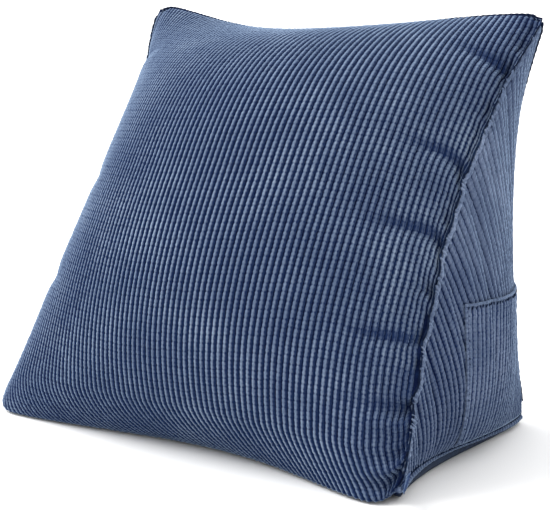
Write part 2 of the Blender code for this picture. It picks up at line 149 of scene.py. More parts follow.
def crease_depth(across, up):
    """How far the creases and the gutters beside the seams draw the front panel in, and how much painted
    shade lies on each crease's upper lip, from 0 to 1."""
    depth, lip_shade = np.zeros_like(across), np.zeros_like(across)
    for side, height, climb, reach, deep, wide in CREASES:
        inward = 1 - across * side
        away = up - height - climb * inward
        fade = (1 - (inward / reach) ** 2).clip(0) ** 1.4 * (1 - np.exp(-(inward / 0.02) ** 2))
        # painted shade on the crease's upper lip, stronger for a deeper crease
        dark = 1.35 * deep / DARK_CREASE * (1 - (inward / reach) ** 2).clip(0)
        lip_shade += dark * np.exp(-(away / wide - 0.30) ** 2 / 0.30)
        away = np.where(away > 0, away / (1.3 * wide), -away / (0.9 * wide))
        depth += deep * fade * (np.exp(-away ** 1.4) - 0.30 * np.exp(-(away / 3) ** 2))
    inward = 1 - np.abs(across)
    gathers = 1 + 0.35 * np.sin(up * 41 + across * 3) + 0.25 * np.sin(up * 67 + 1.3)
    low = ((-0.05 - up) / 0.75).clip(0, 1)
    wide = GUTTER_WIDTH * (1 + 0.8 * low)
    deep = np.where(across < 0, LEFT_GUTTER_DEPTH, GUTTER_DEPTH * (1 + 0.6 * low) * gathers)
    return depth + deep * inward / wide * np.exp(1 - inward / wide), lip_shade.clip(0, 1)


def up_the_side(up):
    """Places along a side seam for places up the panel, which lie closer together at the foot."""
    return 2 * ((up + 1) / 2).clip(0) ** SIDE_SPACING - 1


def front_cloth(across, up):
    """The stuffed front panel: a high crown that leans over its side seams and rolls under at its foot."""
    rise = ((up - ROLL_UNDER) / (1 - ROLL_UNDER)).clip(0) * 2 - 1
    under = ((ROLL_UNDER - up) / (1 + ROLL_UNDER)).clip(0)
    slope = np.array((0.0, SETBACK, HEIGHT)) / math.hypot(SETBACK, HEIGHT)
    outward = np.array((0.0, -slope[2], slope[1]))
    fullest = rise - 0.065 * (1 - rise ** 2)
    profile = (1 - np.abs(across) ** 1.9).clip(0) ** 0.95
    profile = profile * (1 - np.abs(fullest) ** 2.6).clip(0) ** np.where(fullest < 0, 0.80, 0.89)
    way = outward + np.array((0.36, 0, 0)) * across[..., None]
    way = way + slope * (np.where(rise < 0, 0.50, 0.07) * rise)[..., None]
    way = way / np.linalg.norm(way, axis=-1, keepdims=True)
    cloth = stretched_between(across, rise, "foot", "top", "foot_left", "foot_right")
    cloth = cloth + way * (FRONT_CROWN * profile - crease_depth(across, rise)[0])[..., None]
    turn = np.stack((under, under, under ** 2), axis=-1)
    cloth = cloth + turn * (seam("front_base", across) - seam("foot", across))
    along = up_the_side(up)
    for side, name in ((-1.0, "left"), (1.0, "right")):
        place = np.full_like(up, side)
        reach = seam(f"foot_{name}", rise) + turn * (seam("front_base", place) - seam("foot", place))
        pull = (across * side).clip(0) ** EDGE_ROUNDNESS
        cloth = cloth + (seam(f"front_{name}", along) - reach) * pull[..., None]
    return settled(cloth)


def back_cloth(across, up):
    """The back panel as seen from behind, so its left is the cushion's right."""
    profile = (1 - np.abs(across) ** 2.2).clip(0) ** 0.85 * (1 - np.abs(up) ** 2.2).clip(0) ** 0.85
    u, v = ((across + 1) / 2)[..., None], ((up + 1) / 2)[..., None]
    sides = (1 - v) * seam("back_base", -across) + v * seam("top", -across)
    sides = sides + (1 - u) * seam("right_back", up) + u * seam("left_back", up)
    flat = (1 - u) * (1 - v) * corner("right_base") + u * (1 - v) * corner("left_base")
    flat = flat + (1 - u) * v * corner("right_top") + u * v * corner("left_top")
    return settled(sides - flat + np.array((0, 1.0, 0)) * (BACK_CROWN * profile)[..., None])


def gusset_cloth(side):
    """A side gusset as seen from outside: a triangle whose ribs stand up from the base seam."""
    def cloth(across, up):
        behind = (1 + across) / 2 if side == "right" else (1 - across) / 2
        high = (up + 1) / 2
        p, q = behind[..., None], high[..., None]
        base, slant = seam(f"{side}_base", 2 * behind - 1), seam(f"front_{side}", 2 * behind - 1)
        flat = (1 - p) * corner(f"{side}_front")
        flat = flat + p * ((1 - q) * corner(f"{side}_base") + q * corner(f"{side}_top"))
        sheet = (1 - q) * base + q * slant + p * seam(f"{side}_back", 2 * high - 1)
        sheet = sheet + (1 - p) * corner(f"{side}_front") - flat
        if side == "right":
            bubble = 27 * (1 - behind) * behind * high * behind * (1 - high)
        else:
            bubble = 64 * (1 - behind) * behind ** 3 * high * (1 - high) ** 2
        way = np.array((1.0 if side == "right" else -1.0, 0.0, 0.0)) - np.array((0, 0, 1.0)) * (1 - q)
        return settled(sheet + way * (GUSSET_CROWN * bubble)[..., None])
    return cloth


def outward_ways(cloth, across, up):
    """Unit normals of stuffed cloth at places on a panel."""
    step = 0.004
    right, left = (across + step).clip(-1, 1), (across - step).clip(-1, 1)
    above, below = (up + step).clip(-1, 1), (up - step).clip(-1, 1)
    way = np.cross(cloth(right, up) - cloth(left, up), cloth(across, above) - cloth(across, below))
    return way / np.linalg.norm(way, axis=-1, keepdims=True).clip(1e-12)


ACROSS_CELLS, UP_CELLS, HIGH_CELLS = 100, 130, 70
GROUND_SINK, SINK_STEEPNESS = 0.0009, 24  # how far it lies under the pattern's surface
# how far in each ring of the edge round its underside lies, and at what share of the base seam's height
ROLLED_EDGE = ((0.0031, 0.84), (0.0037, 0.52), (0.0060, 0.20), (0.0105, 0.0))
UNDERSIDE = 0.0019


def linear(code):
    """An sRGB hex colour as linear numbers."""
    parts = [int(code[i:i + 2], 16) / 255 for i in (1, 3, 5)]
    return (*[p / 12.92 if p <= 0.04045 else ((p + 0.055) / 1.055) ** 2.4 for p in parts], 1.0)


def add_node(tree, kind, links=None, **settings):
    """One node with its settings and, by input name or number, its links or values."""
    node = tree.nodes.new(kind)
    for key, value in settings.items():
        setattr(node, key, value)
    for key, value in (links or {}).items():
        if isinstance(value, bpy.types.NodeSocket):
            tree.links.new(value, node.inputs[key])
        else:
            node.inputs[key].default_value = value
    return node


def maths_in(tree):
    """A function that adds one Math node to a tree and gives its result."""
    def sum_of(kind, *values, clamp=False):
        return add_node(tree, "ShaderNodeMath", dict(enumerate(values)), operation=kind,
                        use_clamp=clamp).outputs[0]
    return sum_of


def noise_at(tree, place, scale, detail):
    return add_node(tree, "ShaderNodeTexNoise", {"Vector": place, "Scale": scale, "Detail": detail})


def new_finish(name):
    """A material, with its node tree and its shader."""
    made = bpy.data.materials.new(name)
    made.use_nodes = True
    return made, made.node_tree, made.node_tree.nodes["Principled BSDF"]


def cloth_material(name, shadow, body, light, sheen, notch_shade=None):
    """Corduroy: brushed cotton pile over a woven ground, matt, with a soft sheen along the fibres, which are
    drawn coarser than real ones. Painted shade darkens it by the shade value that a piece carries. A pile
    with notches also takes painted shade along both flanks of each rib and in the notches between its beads,
    its lit crest shifted to the left of the rib as if lit from the left."""
    made, tree, shader = new_finish(name)
    sum_of = maths_in(tree)
    place = add_node(tree, "ShaderNodeTexCoord").outputs["Object"]
    fibre, tuft, brushed, worn = [noise_at(tree, place, scale, detail).outputs["Fac"] for scale, detail in
                                  ((900.0, 3.0), (260.0, 2.0), (26.0, 3.0), (9.0, 1.0))]
    mixed = sum_of("MULTIPLY_ADD", tuft, 0.6, sum_of("MULTIPLY", fibre, 0.5))
    mixed = sum_of("MULTIPLY_ADD", brushed, 0.5, mixed)
    mixed = sum_of("MULTIPLY_ADD", sum_of("SUBTRACT", worn, 0.5), 0.5, mixed)
    tones = add_node(tree, "ShaderNodeValToRGB", {"Fac": mixed})
    ramp = tones.color_ramp
    ramp.elements[0].position = 0.50
    ramp.elements[0].color = [0.55 * a + 0.45 * b for a, b in zip(linear(body), linear(shadow))]
    ramp.elements[1].position, ramp.elements[1].color = 1.05, linear(light)
    middle = ramp.elements.new(0.80)
    middle.color = linear(body)
    # painted shade that the piece carries: on the creases' upper lips, in the right ear and gutter, and where
    # a roll parts
    deep = add_node(tree, "ShaderNodeAttribute", attribute_name="painted_shade").outputs["Fac"]
    height = mixed
    if notch_shade is not None:
        relief = add_node(tree, "ShaderNodeAttribute", attribute_name="relief").outputs["Fac"]
        cloth = add_node(tree, "ShaderNodeUVMap", uv_map="cloth").outputs["UV"]
        parts = add_node(tree, "ShaderNodeSeparateXYZ", {0: cloth})
        turn = sum_of("MULTIPLY", parts.outputs["Y"], 2 * math.pi / BEAD_PITCH)
        uneven = sum_of("MULTIPLY_ADD", sum_of("COSINE", turn), BEAD_SPREAD, BEAD_EVEN)
        wave = sum_of("COSINE", sum_of("MULTIPLY", turn, 2.0))
        notch = add_node(tree, "ShaderNodeMapRange",
                         {"Value": wave, "From Min": -0.3, "From Max": 1.0}).outputs[0]
        notch = sum_of("MULTIPLY", notch, uneven)
        # the lit crest is shifted to the left of each rib, so its right flank lies in more painted shade, as
        # if lit from the left
        rib = sum_of("PINGPONG", sum_of("ADD", parts.outputs["X"], 0.09 * WALE_PITCH), WALE_PITCH / 2)
        ragged = sum_of("ADD", sum_of("SUBTRACT", tuft, 0.5), sum_of("SUBTRACT", fibre, 0.5))
        rib = sum_of("MULTIPLY_ADD", ragged, 0.42 * WALE_PITCH, rib)
        rib = sum_of("MULTIPLY_ADD", notch, 0.10 * WALE_PITCH, rib)
        flank = add_node(tree, "ShaderNodeMapRange",
                         {"Value": rib, "From Min": 0.07 * WALE_PITCH, "From Max": 0.45 * WALE_PITCH},
                         interpolation_type="SMOOTHSTEP").outputs[0]
        # painted shade along the ribs' flanks and in the notches between beads, less where the ribs are
        # pressed flat
        rib_shade = sum_of("MULTIPLY", sum_of("MULTIPLY_ADD", notch, notch_shade, flank), relief)
        deep = sum_of("ADD", rib_shade, deep, clamp=True)
        height = sum_of("MULTIPLY_ADD", notch, -0.5, height)
    # all the painted shade mixes the colour towards the shadow colour
    colour = add_node(tree, "ShaderNodeMix", {0: deep, 6: tones.outputs["Color"], 7: linear(shadow)},
                      data_type="RGBA").outputs[2]
    tree.links.new(colour, shader.inputs["Base Color"])
    bump = add_node(tree, "ShaderNodeBump", {"Height": height, "Strength": 0.7, "Distance": 0.0009})
    tree.links.new(bump.outputs[0], shader.inputs["Normal"])
    shader.inputs["Roughness"].default_value = 0.9
    shader.inputs["Specular IOR Level"].default_value = 0.06
    shader.inputs["Sheen Weight"].default_value = sheen
    shader.inputs["Sheen Roughness"].default_value = 0.45
    shader.inputs["Sheen Tint"].default_value = linear("#bcd8f8")
    return made


# the woven ground between the ribs, dark and almost without sheen
ground_cloth = cloth_material("woven cotton corduroy ground", "#050b1d", "#091434", "#112245", 0.06)


def placed(name, data):
    """An object of this name in the scene."""
    made = bpy.data.objects.new(name, data)
    bpy.context.scene.collection.objects.link(made)
    return made


def joined_mesh(name, points, faces, finish):
    data = bpy.data.meshes.new(name)
    data.from_pydata([tuple(p) for p in points], [], [tuple(f) for f in faces])
    data.materials.append(finish)
    data.polygons.foreach_set("use_smooth", np.ones(len(data.polygons), dtype=bool))
    return placed(name, data)


def base_ring(inset=0.0, share=1.0, lift=0.0, tuck=0.0):
    """The closed base seam moved in by inset, and by tuck more at the front, at a share of its height above
    lift, anticlockwise from above."""
    shares = eased(ACROSS_CELLS)
    depths = up_the_side(eased(UP_CELLS))
    across = np.concatenate((shares[:-1], np.ones(UP_CELLS), shares[:0:-1], -np.ones(UP_CELLS)))
    depth = np.concatenate((-np.ones(ACROSS_CELLS), depths[:-1], np.ones(ACROSS_CELLS), depths[:0:-1]))
    side, end = 1 - 2 * inset / WIDTH, 1 - 2 * inset / DEPTH
    lines = ("front_base", "back_base", "left_base", "right_base")
    high = settled(stretched_between(across, depth, *lines))[:, 2]
    across, depth = across.clip(-side, side), depth.clip(2 * tuck / DEPTH - end, end)
    ring = settled(stretched_between(across, depth, *lines))
    ring[:, 2] = lift + share * (high - lift)
    return ring


def eased(cells):
    """Places from -1 to 1, closer together towards the seams."""
    even = np.linspace(-1, 1, cells + 1)
    return 0.55 * even + 0.45 * np.sin(even * math.pi / 2)


def quads(numbers):
    """Faces between the points of a grid, which are given by number."""
    corners = numbers[:-1, :-1], numbers[:-1, 1:], numbers[1:, 1:], numbers[1:, :-1]
    return np.stack(corners, axis=-1).reshape(-1, 4)


def walls_between(rings, first=0):
    """Faces that join closed rings, each below the one before, their points numbered on from first."""
    count, faces = len(rings[0]), []
    for upper in range(first, first + (len(rings) - 1) * count, count):
        for i in range(count):
            k = (i + 1) % count
            faces.append((upper + count + i, upper + count + k, upper + k, upper + i))
    return faces


def sewn_bag():
    """Points and faces of the closed cover, its panels sharing their seams' points."""
    across, up, high = eased(ACROSS_CELLS), eased(UP_CELLS), eased(HIGH_CELLS)
    behind = up_the_side(up)
    sheets = []
    for cloth, columns, rows in ((front_cloth, across, up), (back_cloth, across, high),
                                 (gusset_cloth("right"), behind, high),
                                 (gusset_cloth("left"), -behind[::-1], high)):
        a, b = np.meshgrid(columns, rows)
        points = cloth(a, b)
        ways = outward_ways(cloth, a, b)
        edge = (1 - np.abs(a) ** SINK_STEEPNESS) * (1 - np.abs(b) ** SINK_STEEPNESS)
        sheets.append(points - ways * (GROUND_SINK * edge)[..., None])
    points, faces = [], []
    for sheet in sheets:
        first = sum(len(p) for p in points)
        rows, columns = sheet.shape[:2]
        numbers = first + np.arange(rows * columns).reshape(rows, columns)
        points.append(sheet.reshape(-1, 3))
        faces += quads(numbers).tolist()
    rings = [base_ring()] + [base_ring(inset, share, UNDERSIDE) for inset, share in ROLLED_EDGE]
    first = sum(len(p) for p in points)
    count = len(rings[0])
    points += rings
    faces += walls_between(rings, first)
    last = first + (len(rings) - 1) * count
    faces.append(list(range(last, last + count))[::-1])
    return np.concatenate(points), faces


def weld(thing, distance=0.00002):
    """Merges points that lie on one another, as along a seam, and drops what collapses."""
    mesh = bmesh.new()
    mesh.from_mesh(thing.data)
    bmesh.ops.remove_doubles(mesh, verts=mesh.verts, dist=distance)
    bmesh.ops.dissolve_degenerate(mesh, edges=mesh.edges, dist=0.000001)
    mesh.to_mesh(thing.data)
    mesh.free()


bag_points, bag_faces = sewn_bag()
cover = joined_mesh("stuffed_cover", bag_points, bag_faces, ground_cloth)
weld(cover)
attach(cover, "root")
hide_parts("cushion_body")


# The ribs of the corduroy: brushed cotton pile in rounded rows, woven in one with the ground and pinched into
# beads along their length. They run up the front and back panels and up each gusset, and end in the seams.

WALE_PITCH, BEAD_PITCH = 0.0054, 0.0076
FRONT_WALES, GUSSET_WALES = 86, 52
WALE_HEIGHT, WALE_GAP = 0.0023, 0.08
WALE_SIDES = (-1.0, -0.75, 0.0, 0.75, 1.0)
WALE_END, WALE_END_AT_WELT = 0.0012, 0.0056  # how far a rib ends before its seam
WALE_UNEVENNESS = 0.0011
BEAD_ROWS = (-0.25, 0.0, 0.25, 0.5)
BEAD_PINCH = 0.16
BEAD_EVEN, BEAD_SPREAD = 0.78, 0.22  # the notches between beads are deeper by turns


def new_tree(name, labels):
    """A Geometry Nodes tree with number inputs of these names, and what it is given."""
    tree = bpy.data.node_groups.new(name, "GeometryNodeTree")
    sockets = {}
    for label in ("Geometry", *labels):
        kind = "NodeSocketGeometry" if label == "Geometry" else "NodeSocketFloat"
        sockets[label] = tree.interface.new_socket(label, in_out="INPUT", socket_type=kind).identifier
    tree.interface.new_socket("Geometry", in_out="OUTPUT", socket_type="NodeSocketGeometry")
    return tree, sockets, add_node(tree, "NodeGroupInput").outputs


def finish_tree(tree, geometry, finish):
    smooth = add_node(tree, "GeometryNodeSetShadeSmooth", {"Geometry": geometry})
    real = add_node(tree, "GeometryNodeRealizeInstances", {"Geometry": smooth.outputs[0]})
    dressed = add_node(tree, "GeometryNodeSetMaterial", {"Geometry": real.outputs[0], "Material": finish})
    add_node(tree, "NodeGroupOutput", {0: dressed.outputs[0]})


def vector_of(tree, kind, *values):
    return add_node(tree, "ShaderNodeVectorMath", dict(enumerate(values)), operation=kind).outputs[0]


def scaled(tree, vector, amount):
    return add_node(tree, "ShaderNodeVectorMath", {0: vector, "Scale": amount}, operation="SCALE").outputs[0]


def frayed(tree, scale, amount):
    """Noise at each point, and small moves every way that follow it, by up to about half of amount."""
    place = add_node(tree, "GeometryNodeInputPosition").outputs[0]
    noise = noise_at(tree, place, scale, 1.0)
    centred = vector_of(tree, "SUBTRACT", noise.outputs["Color"], (0.5, 0.5, 0.5))
    return noise.outputs["Fac"], scaled(tree, centred, amount)


def pile_tree(finish):
    """Raises flat strips of cloth into rounded, beaded ribs."""
    tree, sockets, given = new_tree("raised corduroy ribs",
                                    ("Rib height", "Bead pitch", "Bead pinch", "Unevenness"))
    sum_of = maths_in(tree)
    side, run, taper, relief = [add_node(tree, "GeometryNodeInputNamedAttribute", {"Name": label},
                                         data_type="FLOAT").outputs[0]
                                for label in ("side", "run", "taper", "relief")]
    rounded = sum_of("POWER", sum_of("ABSOLUTE", side), 1.9)
    rounded = sum_of("POWER", sum_of("MAXIMUM", sum_of("SUBTRACT", 1.0, rounded), 0.0),
                     sum_of("MULTIPLY", relief, 0.7))
    taper = sum_of("MULTIPLY", taper, sum_of("MULTIPLY_ADD", relief, 0.5, 0.5))
    turn = sum_of("MULTIPLY", sum_of("DIVIDE", run, given["Bead pitch"]), 2 * math.pi)
    pinch = sum_of("MULTIPLY_ADD", sum_of("COSINE", sum_of("MULTIPLY", turn, 2.0)), 0.5, 0.5)
    pinch = sum_of("MULTIPLY", pinch, sum_of("MULTIPLY_ADD", sum_of("COSINE", turn), BEAD_SPREAD, BEAD_EVEN))
    pinch = sum_of("SUBTRACT", 1.0, sum_of("MULTIPLY", pinch, given["Bead pinch"]))
    bumps, moves = frayed(tree, 300.0, given["Unevenness"])
    uneven = sum_of("MULTIPLY", sum_of("SUBTRACT", bumps, 0.5), given["Unevenness"])
    rise = sum_of("MULTIPLY", sum_of("MULTIPLY", rounded, pinch), given["Rib height"])
    rise = sum_of("MULTIPLY_ADD", sum_of("MULTIPLY", rounded, taper), uneven, sum_of("MULTIPLY", rise, taper))
    rise = sum_of("SUBTRACT", rise, GROUND_SINK + 0.0002)
    normal = add_node(tree, "GeometryNodeInputNormal").outputs[0]
    move = vector_of(tree, "ADD", scaled(tree, normal, rise), moves)
    moved = add_node(tree, "GeometryNodeSetPosition", {"Geometry": given["Geometry"], "Offset": move})
    finish_tree(tree, moved.outputs[0], finish)
    return tree, sockets


def apply_tree(thing, tree, sockets, values):
    """Runs a Geometry Nodes tree on a piece and keeps the result as a plain mesh."""
    modifier = thing.modifiers.new("shape", "NODES")
    modifier.node_group = tree
    for label, value in values.items():
        modifier[sockets[label]] = value
    bpy.context.view_layer.update()
    ready = thing.evaluated_get(bpy.context.evaluated_depsgraph_get())
    data = bpy.data.meshes.new_from_object(ready)
    thing.modifiers.clear()
    old, thing.data = thing.data, data
    bpy.data.meshes.remove(old)
    data.name = thing.name
    return thing


def thread_table(cloth, ups, shares, slip):
    """Across places of threads that lie at given shares of each row's length, moved sideways by slip."""
    fine = np.sin(np.linspace(-math.pi / 2, math.pi / 2, 241))
    a, b = np.meshgrid(fine, ups)
    rows = cloth(a, b)
    run = np.linalg.norm(np.diff(rows, axis=1), axis=2).cumsum(axis=1)
    run = np.concatenate((np.zeros((len(ups), 1)), run), axis=1)
    table = np.stack([np.interp((shares + moved).clip(0, 1) * row[-1], row, fine)
                      for row, moved in zip(run, slip)])
    # a thread runs on straight past a crease, so its places are evened out along its length
    apart = np.abs(ups[:, None] - ups[None, :])
    weight = np.exp(-(apart / 0.12) ** 2)
    even = np.stack([np.interp(shares * row[-1], row, fine) for row in run])
    return table + weight @ even / weight.sum(axis=1, keepdims=True) - even


def wale_strips(cloth, count, seed, slip_at, more, stretch, gap, nap, free, ends):
    """Flat strips along a panel's ribs, with where each point lies on its rib. more are the ribs on each side
    that only show where the threads slip past the side seams, and stretch is how much wider the cloth lies at
    the end of the row than at its start. gap is the share of the pitch between ribs that stand fully. nap
    gives the ribs' relief and the painted shade on them, and free the share of a row that they leave bare at
    its end, where the bare dark ground stands in for shade. ends are the lengths that a rib keeps clear of
    its seams."""
    chance = np.random.default_rng(seed)
    ups = np.linspace(-1, 1, 181)
    slip = slip_at(ups)
    centres = (np.arange(-more, count + more) + 0.5) / count
    centres = centres - stretch * np.sin(math.pi * centres)
    half = 0.5 / count
    middle = thread_table(cloth, ups, centres, slip)
    columns = [thread_table(cloth, ups, centres + side * half, slip) for side in WALE_SIDES]
    points, sides, runs, tapers, reliefs, painted_shades, flats, faces = [], [], [], [], [], [], [], []
    first = 0
    for k in range(len(centres)):
        place = centres[k] + slip
        shown = np.flatnonzero((place > 0.1 * half) & (place < 1 - 0.1 * half - free(ups)))
        phase = (chance.random() - 0.5) * 0.0012
        if len(shown) < 2:
            continue
        line = cloth(middle[:, k], ups)
        run = np.concatenate(([0.0], np.linalg.norm(np.diff(line, axis=0), axis=1).cumsum()))
        low, high = run[shown[0]] + ends[0], run[shown[-1]] - ends[1]
        if high - low < 0.5 * BEAD_PITCH:
            continue
        beads = np.arange(math.floor((low - phase) / BEAD_PITCH), math.ceil((high - phase) / BEAD_PITCH) + 1)
        along = (beads[:, None] + np.array(BEAD_ROWS)).ravel() * BEAD_PITCH
        inside = (along + phase > low) & (along + phase < high)
        along = np.concatenate(([low - phase], along[inside], [high - phase]))
        up = np.interp(along + phase, run, ups)
        across = np.stack([np.interp(up, ups, column[:, k]) for column in columns], axis=1)
        high_up = np.repeat(up[:, None], len(WALE_SIDES), axis=1)
        bead = along / BEAD_PITCH * 2 * math.pi
        pinch = (0.5 + 0.5 * np.cos(2 * bead)) * (BEAD_EVEN + BEAD_SPREAD * np.cos(bead)) * BEAD_PINCH
        relief, painted_shade = nap(across, high_up)
        pinch = pinch + gap * relief[:, 2] ** 2
        across = across + (across[:, 2:3] - across) * pinch[:, None]
        reliefs.append(relief.ravel())
        painted_shades.append(painted_shade.ravel())
        points.append(cloth(across, high_up).reshape(-1, 3))
        sides.append(np.tile(WALE_SIDES, len(up)))
        runs.append(np.repeat(along, len(WALE_SIDES)))
        to_end = np.minimum(along + phase - low, high - along - phase)
        tapers.append(np.repeat((to_end / 0.003).clip(0, 1) ** 0.5, len(WALE_SIDES)))
        flats.append(np.repeat(k * WALE_PITCH, len(up) * len(WALE_SIDES)) + sides[-1] * WALE_PITCH / 2)
        numbers = first + np.arange(len(up) * len(WALE_SIDES)).reshape(len(up), -1)
        faces.append(quads(numbers))
        first += numbers.size
    return [np.concatenate(part) for part in (points, sides, runs, tapers, reliefs, painted_shades, flats, faces)]


def straight_threads(ups):
    return np.zeros_like(ups)


def swept_threads(ups):
    """The front panel sags towards its right where it rolls under, so its ribs sweep that way at the foot."""
    return 0.052 * ((-0.68 - ups) / 0.19).clip(0, 1.4) ** 1.5


def standing(across, up):
    """Ribs that stand fully, with no fold and no painted shade across them."""
    return np.ones_like(across), np.zeros_like(across)


def folded_front(across, up):
    """Ribs lie pressed together in the folds and in the right ear. Painted shade lies on the creases' upper
    lips, in the right ear and in the gutter beside the right seam towards the foot, and the ribs stand
    flatter where it lies.
    """
    # painted shade on the creases' upper lips
    painted_shade = 0.75 * crease_depth(across, ((up - ROLL_UNDER) / (1 - ROLL_UNDER)).clip(0) * 2 - 1)[1]
    # painted shade in the right ear
    painted_shade = painted_shade + 0.60 * np.exp(-((1 - across) / 0.13) ** 2 - ((1 - up) / 0.10) ** 2)
    # painted shade in the gutter beside the right seam, growing towards the foot
    inward, low = (1 - across) / 0.055, ((-0.05 - up) / 0.40).clip(0, 1)
    painted_shade = painted_shade + (0.44 * np.exp(-inward ** 2) + 0.28 * np.exp(-(inward / 6.0) ** 2)) * low
    return 1 - 0.5 * painted_shade.clip(0, 1), painted_shade.clip(0, 0.85)


def pulled_flat(side):
    """A gusset is pulled flat towards its top and back, and its ribs are pressed there."""
    def nap(across, up):
        behind = (1 + across) / 2 if side == "right" else (1 - across) / 2
        high = gusset_cloth(side)(across, up)[..., 2]
        flat = ((high - 0.11) / 0.09).clip(0, 1) * ((behind - 0.30) / 0.35).clip(0, 1)
        return 1 - 0.62 * flat - 0.12 * behind, np.zeros_like(across)
    return nap


def bare_shaded_gutter(ups):
    """The share of a row left bare in the gutter beside the right side seam, so that the dark ground stands
    in for the shade there.
    """
    return (0.003 + 0.005 * np.exp(-((ups + 0.45) / 0.30) ** 2)) * ((ups + 0.95) / 0.20).clip(0, 1)


def raise_wales(name, cloth, count, seed, slip_at=straight_threads, more=0, stretch=0.0, gap=WALE_GAP,
                height=WALE_HEIGHT, nap=standing, free=straight_threads, pile=None, node="cushion_body",
                ends=(WALE_END, WALE_END)):
    points, sides, runs, tapers, reliefs, painted_shades, flats, faces = wale_strips(cloth, count, seed, slip_at, more,
                                                                            stretch, gap, nap, free, ends)
    pile, (wale_tree, wale_sockets) = pile or front_pile
    strips = joined_mesh(name, points, faces.tolist(), pile)
    for label, values in (("side", sides), ("run", runs), ("taper", tapers), ("relief", reliefs),
                          ("painted_shade", painted_shades)):
        layer = strips.data.attributes.new(label, "FLOAT", "POINT")
        layer.data.foreach_set("value", values.astype(np.float32))
    corners = np.empty(len(strips.data.loops), dtype=np.int32)
    strips.data.loops.foreach_get("vertex_index", corners)
    places = np.stack((flats[corners], runs[corners]), axis=1).astype(np.float32)
    strips.data.uv_layers.new(name="cloth").data.foreach_set("uv", places.ravel())
    apply_tree(strips, wale_tree, wale_sockets, {
        "Rib height": height, "Bead pitch": BEAD_PITCH, "Bead pinch": BEAD_PINCH,
        "Unevenness": WALE_UNEVENNESS})
    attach(strips, "root")
    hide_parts(node)
    return strips


# brushed pile, its tone varying at random, with painted shade on its flanks, in its notches and in the
# creases
pile_cloth = cloth_material("brushed corduroy pile", "#0f2146", "#5b6980", "#7c8a9e", 0.60, 0.08)
# the same pile, pressed flatter and duller, its flanks and notches in lighter painted shade
pressed_pile = cloth_material("flatter corduroy pile of the sides", "#13244a", "#4e5a72", "#667189",
                              0.54, 0.10)
front_pile = pile_cloth, pile_tree(pile_cloth)
flat_pile = pressed_pile, pile_tree(pressed_pile)
raise_wales("front_ribs", front_cloth, FRONT_WALES, 11, swept_threads, more=5, stretch=0.016,
            nap=folded_front, free=bare_shaded_gutter)
raise_wales("back_ribs", back_cloth, FRONT_WALES, 12)
for side, seed, stretch in (("right", 13, -0.02), ("left", 14, 0.02)):
    raise_wales(f"{side}_gusset_ribs", gusset_cloth(side), GUSSET_WALES, seed, stretch=stretch, gap=0.13,
                height=0.0022, nap=pulled_flat(side), pile=flat_pile, ends=(WALE_END, WALE_END_AT_WELT))


# The base panel: plain woven cotton in slate blue, cut to the cushion's footprint and sewn into the base seam
# all round. Its edge turns up to the seam, so a few millimetres of it show as a plain band under the ribs.

PLAIN_CLOTH = 0.0016
TURNED_EDGE = ((0.0100, 0.0, PLAIN_CLOTH), (0.0056, 0.18, PLAIN_CLOTH), (0.0032, 0.48, PLAIN_CLOTH),
               (0.0027, 0.76, PLAIN_CLOTH), (0.0008, 0.84, 0.0), (0.0014, 0.46, 0.0), (0.0038, 0.14, 0.0),
               (0.0090, 0.0, 0.0))
WEAVE_SCALE = 830.0 / (2 * math.pi) / 3.3


def plain_weave(name, dark, light):
    """Plain-woven cotton: matt, its threads a grid, drawn about 8 mm wide where the real one is far finer."""
    made, tree, shader = new_finish(name)
    place = add_node(tree, "ShaderNodeTexCoord").outputs["Object"]
    warp, weft = [add_node(tree, "ShaderNodeTexWave", {"Vector": place, "Scale": WEAVE_SCALE,
                                                       "Distortion": 0.4}, bands_direction=way).outputs["Fac"]
                  for way in ("X", "Y")]
    worn = noise_at(tree, place, 60.0, 4.0).outputs["Fac"]
    sum_of = maths_in(tree)
    grid = sum_of("MAXIMUM", warp, weft)
    tones = add_node(tree, "ShaderNodeValToRGB", {"Fac": sum_of("MULTIPLY_ADD", grid, 0.4, worn)})
    tones.color_ramp.elements[0].position, tones.color_ramp.elements[0].color = 0.35, linear(dark)
    tones.color_ramp.elements[1].position, tones.color_ramp.elements[1].color = 1.0, linear(light)
    tree.links.new(tones.outputs["Color"], shader.inputs["Base Color"])
    bump = add_node(tree, "ShaderNodeBump", {"Height": grid, "Strength": 0.4, "Distance": 0.0003})
    tree.links.new(bump.outputs[0], shader.inputs["Normal"])
    shader.inputs["Roughness"].default_value = 0.85
    shader.inputs["Specular IOR Level"].default_value = 0.3
    return made


slate_cloth = plain_weave("plain woven slate cotton", "#0f1a2c", "#1f2f47")
rings = [base_ring(*row, tuck=0.005) for row in TURNED_EDGE]
around = len(rings[0])
tray_faces = [list(range(around)), list(range((len(rings) - 1) * around, len(rings) * around))[::-1]]
tray_faces += walls_between(rings)
base_cloth = joined_mesh("base_cloth", np.concatenate(rings), tray_faces, slate_cloth)
weld(base_cloth)
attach(base_cloth, "root")
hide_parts("base_panel")


# The side pocket: a patch of the same corduroy, its ribs upright, its mouth turned over in a doubled hem. It
# is sewn to the right gusset at its sides and caught in the base seam, and its mouth lies flat.

POCKET_WIDTH, POCKET_LEAN = 0.132, 0.018
POCKET_HEIGHT, POCKET_DROOP, POCKET_HEM = 0.146, 0.008, 0.014
POCKET_CLEARANCE, POCKET_CLOTH, HEM_EXTRA = 0.0009, 0.0006, 0.0004
POCKET_LAST = 1 - 0.0072 / DEPTH
POCKET_CELLS = 66
POCKET_FOOT = 0.0045  # how far above the base seam its ribs start
HEM_STEP = 0.012
HALVINGS = 22

# corduroy folded over at an edge, its pile pressed, darkened with painted shade where a roll of it parts
folded_edge = cloth_material("folded corduroy edge", "#0f2042", "#56637c", "#727e96", 0.52)


